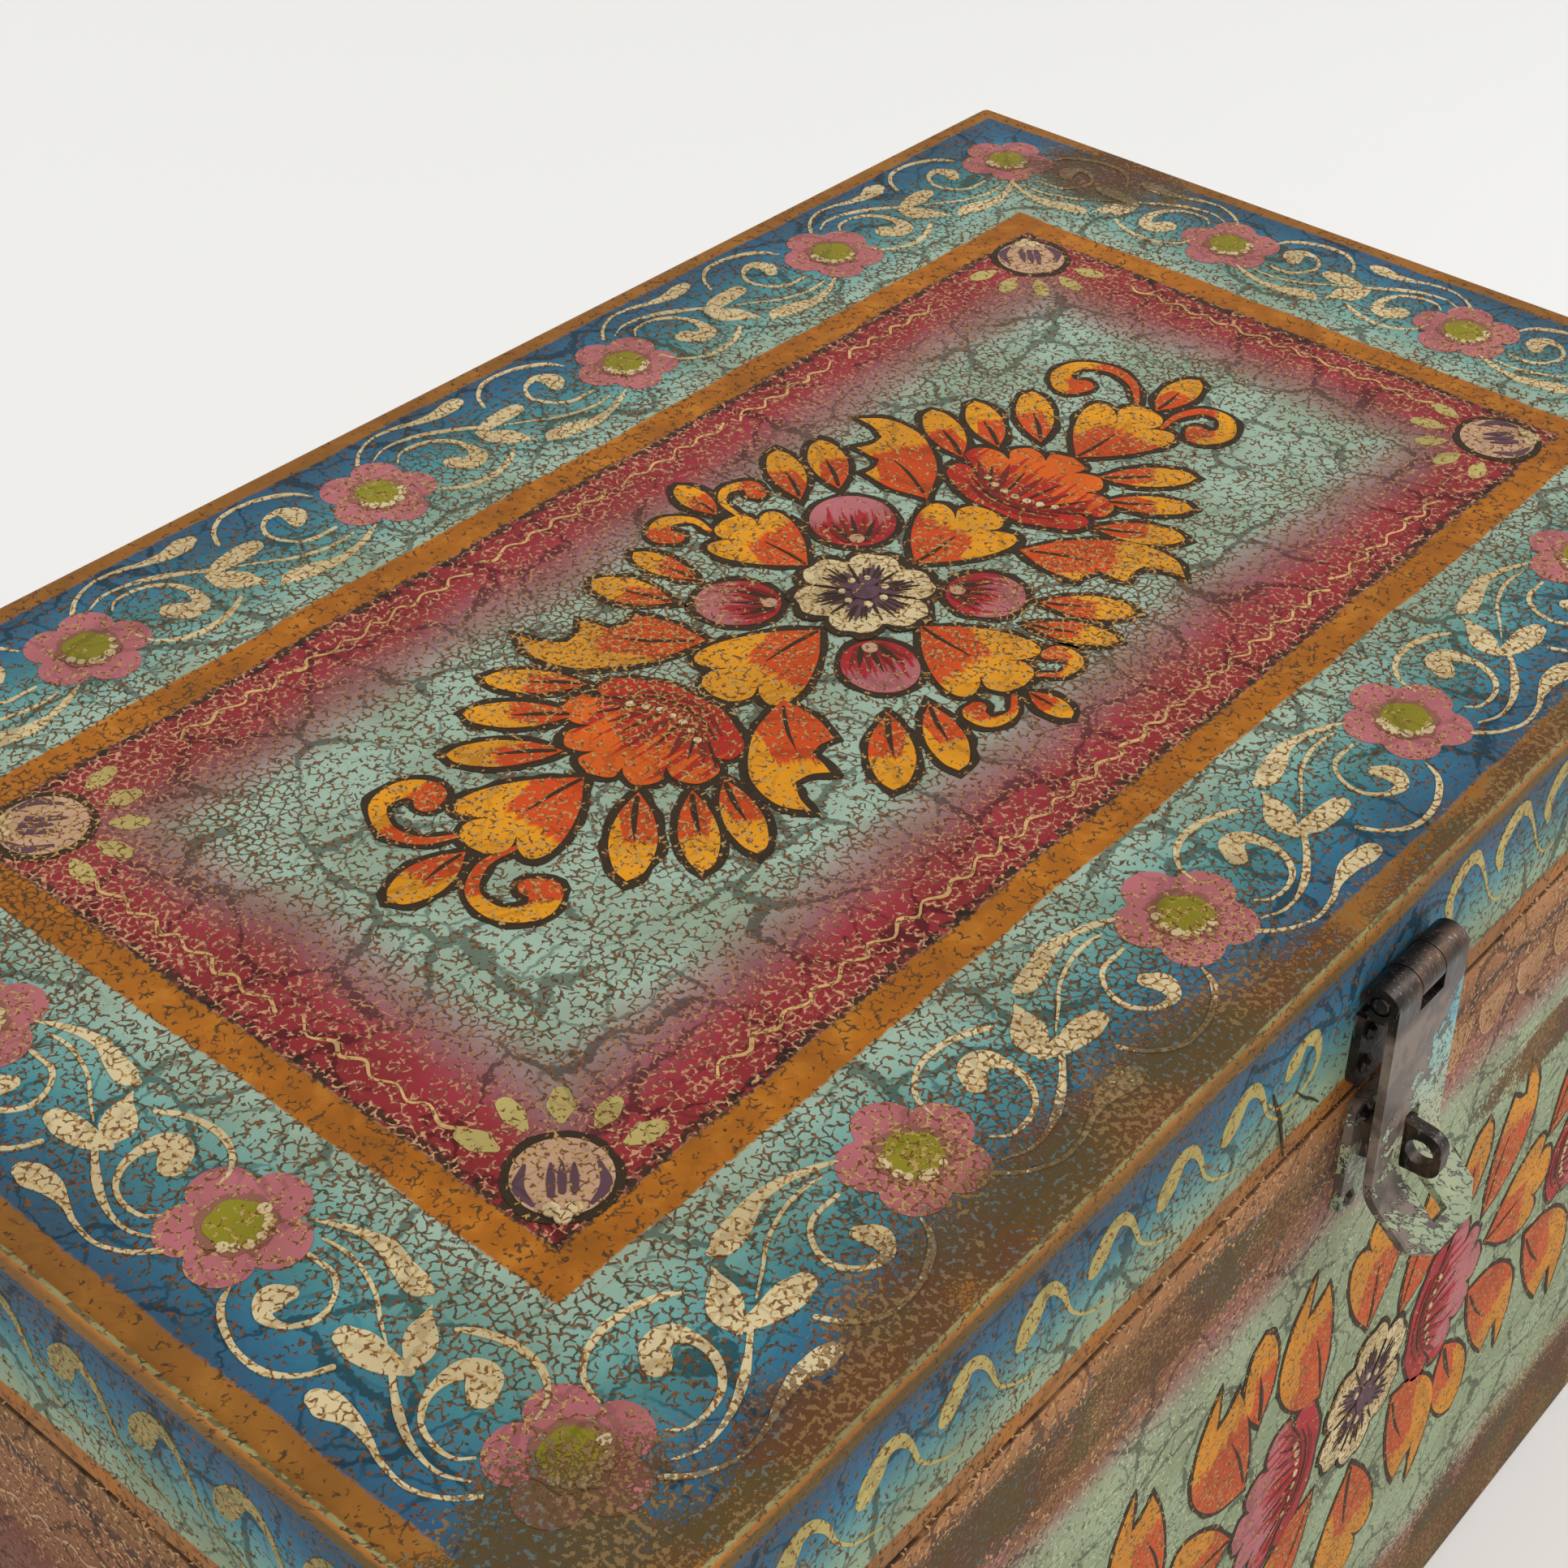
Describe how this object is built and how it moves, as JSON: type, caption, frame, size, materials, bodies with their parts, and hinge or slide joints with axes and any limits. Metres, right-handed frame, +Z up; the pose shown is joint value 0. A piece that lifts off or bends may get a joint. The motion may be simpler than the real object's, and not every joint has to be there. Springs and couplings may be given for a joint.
{
  "type": "painted wooden box",
  "caption": "Painted wooden box with a hinged lid, and a slotted hasp that drops over a padlock eye on the front.",
  "frame": {"origin": "middle of the whole object's outline on the surface it stands on", "axes": "+X along the box to the right of a person facing its front, +Z up, front faces -Y"},
  "size_m": [0.32, 0.2146, 0.214],
  "materials": {
    "painted_top": "painted flowers over a sea-green ground, crackled and worn",
    "painted_front": "painted flowers over a rubbed ground, crackled and worn",
    "painted_rim": "painted strokes on blue, worn at the edges",
    "painted_end": "dark red paint, worn",
    "painted_back": "plain dark red paint, worn",
    "bare_wood": "bare, planed",
    "dark_iron": "dark worn iron with flakes of old paint",
    "hinge_iron": "dark worn iron",
    "screw_steel": "dull steel"
  },
  "bodies": {
    "case": {"front_board": "painted_front", "back_board": "painted_back", "left_end_board": "painted_end", "right_end_board": "painted_end", "bottom_board": "bare_wood", "staple_plate": "dark_iron", "staple_eye": "dark_iron", "staple_nails": "dark_iron", "hinge_lower_leaves": "hinge_iron", "hinge_pins": "hinge_iron", "hinge_lower_screws": "screw_steel"},
    "lid": {"lid_top_board": "painted_top", "lid_front_rim": "painted_rim", "lid_back_rim": "painted_rim", "lid_left_rim": "painted_rim", "lid_right_rim": "painted_rim", "hasp_fixed_leaf": "dark_iron", "hasp_pin": "dark_iron", "hasp_leaf_nails": "dark_iron", "hinge_upper_leaves": "hinge_iron", "hinge_upper_screws": "screw_steel"},
    "hasp": {"hasp_strap": "dark_iron"}
  },
  "joints": [
    {"name": "lid_hinge", "type": "hinge", "parent": "case", "child": "lid", "pos_m": [0, 0.10428, 0.181], "axis": [-1, 0, 0], "range_deg": [0, 185]},
    {"name": "hasp_hinge", "type": "hinge", "parent": "lid", "child": "hasp", "pos_m": [0, -0.09432, 0.2006], "axis": [-1, 0, 0], "range_deg": [0, 178]}
  ]
}
